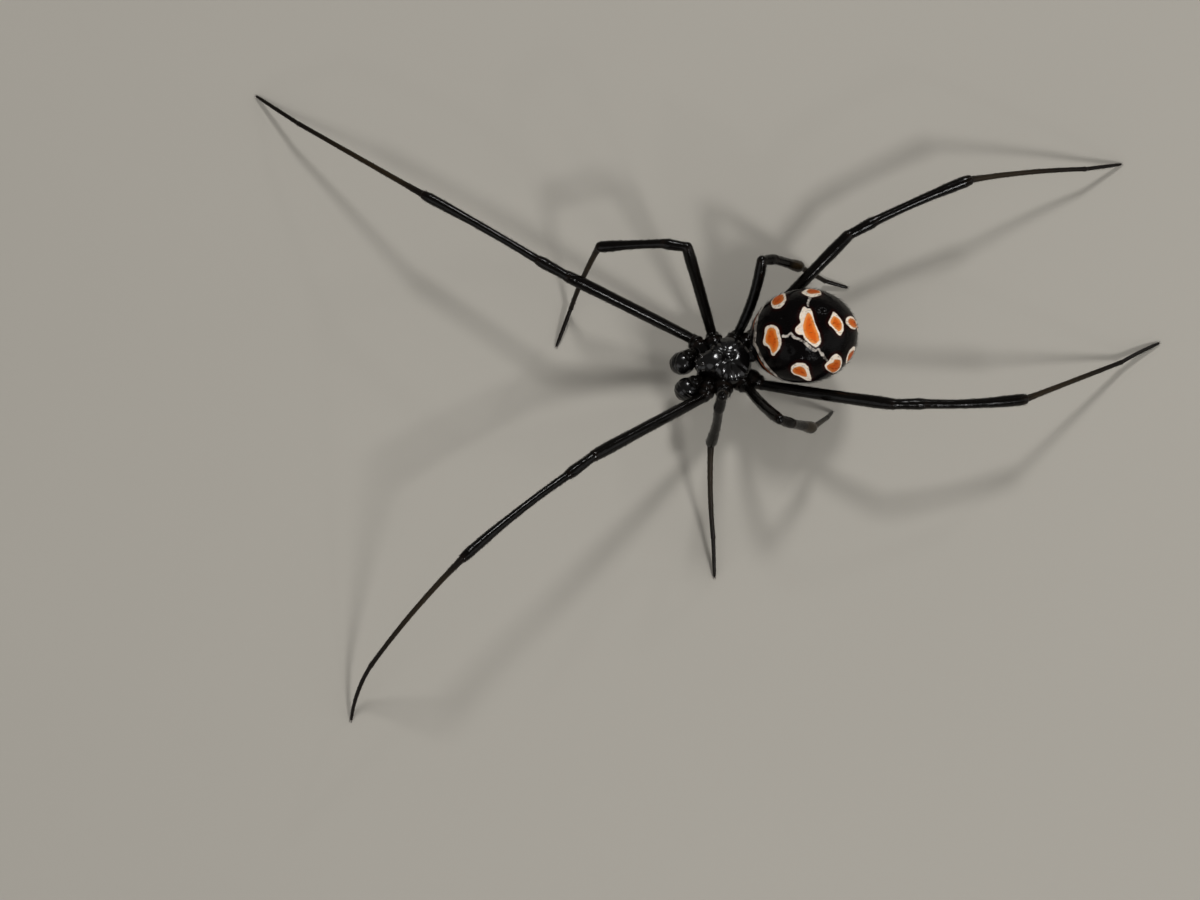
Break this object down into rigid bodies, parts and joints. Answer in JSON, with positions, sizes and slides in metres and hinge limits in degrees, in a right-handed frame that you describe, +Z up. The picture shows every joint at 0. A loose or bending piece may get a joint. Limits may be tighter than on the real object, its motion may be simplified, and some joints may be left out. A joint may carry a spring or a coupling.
{
  "type": "male black widow spider",
  "caption": "Life-size still model of a male black widow spider standing on long outstretched legs, with a globular spotted abdomen and swollen palps.",
  "frame": {"origin": "on the floor, under the middle of the spider's bounding box", "axes": "+Z up from the floor, +Y from the head towards the tail, +X towards the spider's left side"},
  "size_m": [0.0274, 0.0382, 0.0068],
  "materials": {
    "shell": "glossy black cuticle of the head and thorax, finely granular",
    "hide": "glossy black abdomen with orange-red spots ringed in white, finely haired",
    "limb": "glossy black legs with short dark bristles",
    "shin": "thin outer leg segments, black-brown and slightly translucent",
    "eye": "wet black eye"
  },
  "bodies": {
    "root": {"carapace": "shell", "sternum": "shell", "eye_front_middle_left": "eye", "eye_front_middle_right": "eye", "eye_front_side_left": "eye", "eye_front_side_right": "eye", "eye_rear_middle_left": "eye", "eye_rear_middle_right": "eye", "eye_rear_side_left": "eye", "eye_rear_side_right": "eye", "chelicera_left": "shell", "palp_left": "limb", "palp_bulb_left": "hide", "chelicera_right": "shell", "palp_right": "limb", "palp_bulb_right": "hide", "pedicel": "shell", "abdomen": "hide", "spinnerets": "hide", "leg1_right_femur": "limb", "leg1_right_patella": "limb", "leg1_right_tibia": "limb", "leg1_right_metatarsus": "shin", "leg1_right_tarsus": "shin", "leg1_left_femur": "limb", "leg1_left_patella": "limb", "leg1_left_tibia": "limb", "leg1_left_metatarsus": "shin", "leg1_left_tarsus": "shin", "leg2_right_femur": "limb", "leg2_right_patella": "limb", "leg2_right_tibia": "limb", "leg2_right_metatarsus": "shin", "leg2_right_tarsus": "shin", "leg2_left_femur": "limb", "leg2_left_patella": "limb", "leg2_left_tibia": "limb", "leg2_left_metatarsus": "shin", "leg2_left_tarsus": "shin", "leg3_right_femur": "limb", "leg3_right_patella": "limb", "leg3_right_tibia": "limb", "leg3_right_metatarsus": "shin", "leg3_right_tarsus": "shin", "leg3_left_femur": "limb", "leg3_left_patella": "limb", "leg3_left_tibia": "limb", "leg3_left_metatarsus": "shin", "leg3_left_tarsus": "shin", "leg4_right_femur": "limb", "leg4_right_patella": "limb", "leg4_right_tibia": "limb", "leg4_right_metatarsus": "shin", "leg4_right_tarsus": "shin", "leg4_left_femur": "limb", "leg4_left_patella": "limb", "leg4_left_tibia": "limb", "leg4_left_metatarsus": "shin", "leg4_left_tarsus": "shin"}
  },
  "joints": []
}
